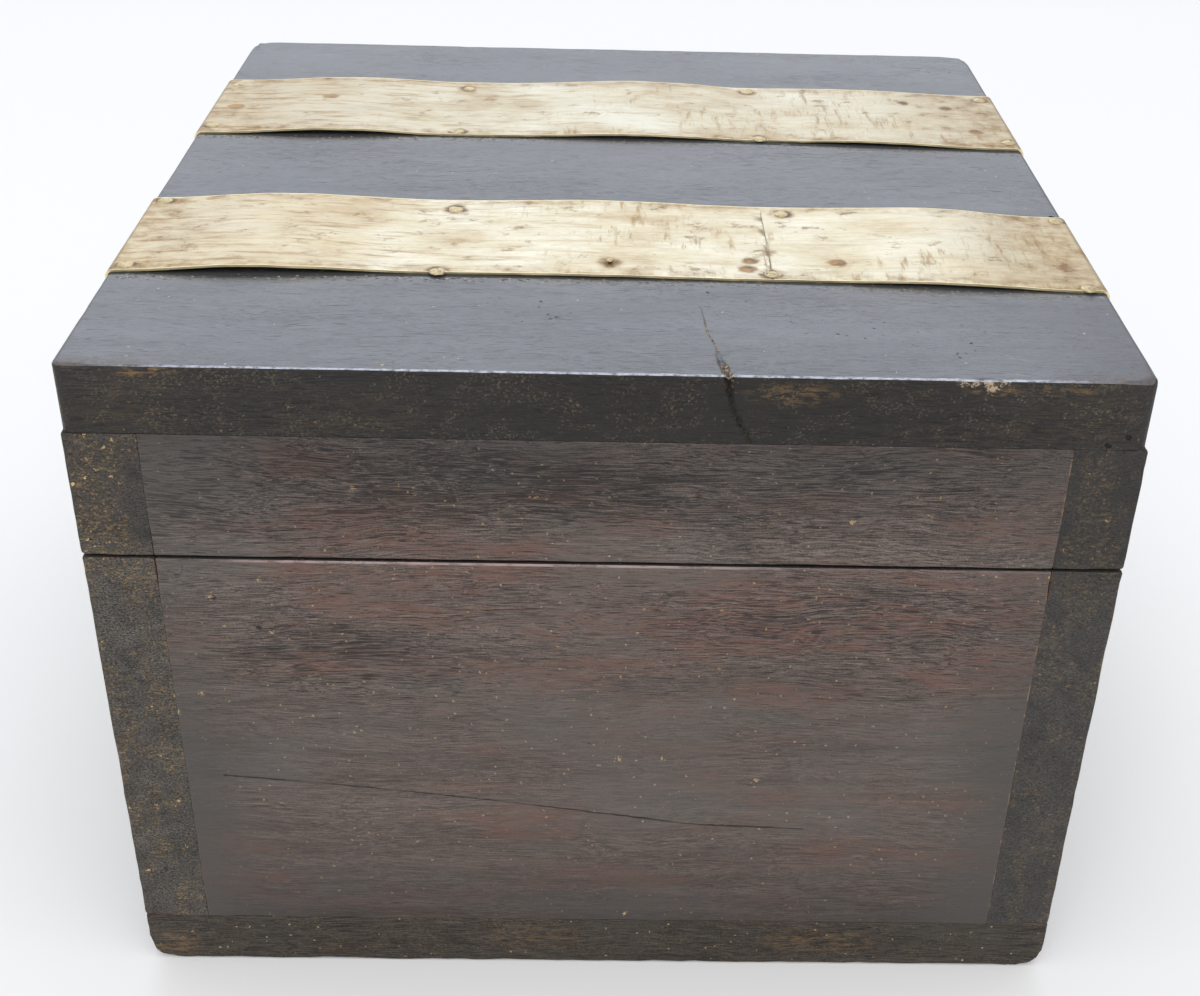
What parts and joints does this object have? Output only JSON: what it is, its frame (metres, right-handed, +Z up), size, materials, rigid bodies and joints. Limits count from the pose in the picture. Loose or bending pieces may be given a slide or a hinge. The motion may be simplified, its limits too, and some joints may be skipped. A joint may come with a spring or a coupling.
{
  "type": "silverware chest",
  "caption": "Wooden silverware chest with a hinged lid, nailed brass straps that form the hinges, a box lock with key, and a lift-out cutlery tray in a deep well.",
  "frame": {"origin": "middle of the base, on the surface that the chest stands on", "axes": "+X to the right end seen from the front, -Y out of the front where the lid opens, +Z up; the hinges are at +Y"},
  "size_m": [0.264, 0.2928, 0.1943],
  "materials": {
    "chest_wood": "old dark rosewood, waxed and worn",
    "tray_wood": "dark hardwood, lightly oiled",
    "brass": "old sheet brass, polished and stained",
    "iron": "dark forged iron",
    "baize": "dark green baize"
  },
  "bodies": {
    "chest": {"bottom_board": "chest_wood", "front_board": "chest_wood", "back_board": "chest_wood", "right_end_panel": "chest_wood", "left_end_panel": "chest_wood", "carcass_nails": "iron", "front_tray_ledge": "chest_wood", "back_tray_ledge": "chest_wood", "ledge_brads": "brass", "floor_lining": "baize", "lock_case": "brass", "lock_cap": "brass", "lock_spring": "brass", "lock_screws": "brass", "escutcheon": "brass", "escutcheon_pins": "brass", "right_hinge_leaf": "brass", "left_hinge_leaf": "brass", "right_hinge_pin": "iron", "left_hinge_pin": "iron", "hinge_leaf_nails": "brass"},
    "lid": {"lid_top_board": "chest_wood", "lid_front_rail": "chest_wood", "lid_back_rail": "chest_wood", "lid_right_rail": "chest_wood", "lid_left_rail": "chest_wood", "lid_nails": "iron", "lid_lining": "baize", "right_strap": "brass", "left_strap": "brass", "right_strap_nails": "brass", "left_strap_nails": "brass", "link_plate": "brass", "link_plate_screws": "brass"},
    "tray": {"tray_front": "tray_wood", "tray_back": "tray_wood", "tray_right_end": "tray_wood", "tray_left_end": "tray_wood", "tray_bottom": "tray_wood", "tray_brads": "brass", "tray_divider_front": "tray_wood", "tray_divider_middle": "tray_wood", "tray_divider_back": "tray_wood", "tray_lining_1": "baize", "tray_lining_2": "baize", "tray_lining_3": "baize", "tray_lining_4": "baize"},
    "key": {"key": "iron"},
    "bolt": {"lock_bolt": "iron"}
  },
  "joints": [
    {"name": "lid_hinge", "type": "hinge", "parent": "chest", "child": "lid", "pos_m": [0, 0.13215, 0.13935], "axis": [-1, 0, 0], "range_deg": [0, 180]},
    {"name": "tray_lift", "type": "slide", "parent": "chest", "child": "tray", "axis": [0, 0, 1], "range_m": [0, 0.034]},
    {"name": "key_turn", "type": "hinge", "parent": "chest", "child": "key", "pos_m": [0, -0.13, 0.116], "axis": [0, 1, 0], "range_deg": [0, 90]},
    {"name": "bolt_slide", "type": "slide", "parent": "chest", "child": "bolt", "axis": [1, 0, 0], "range_m": [0, 0.00721]}
  ],
  "couplings": [
    {"joint": "bolt_slide", "follows": "key_turn", "m_per_rad": 0.004588}
  ]
}
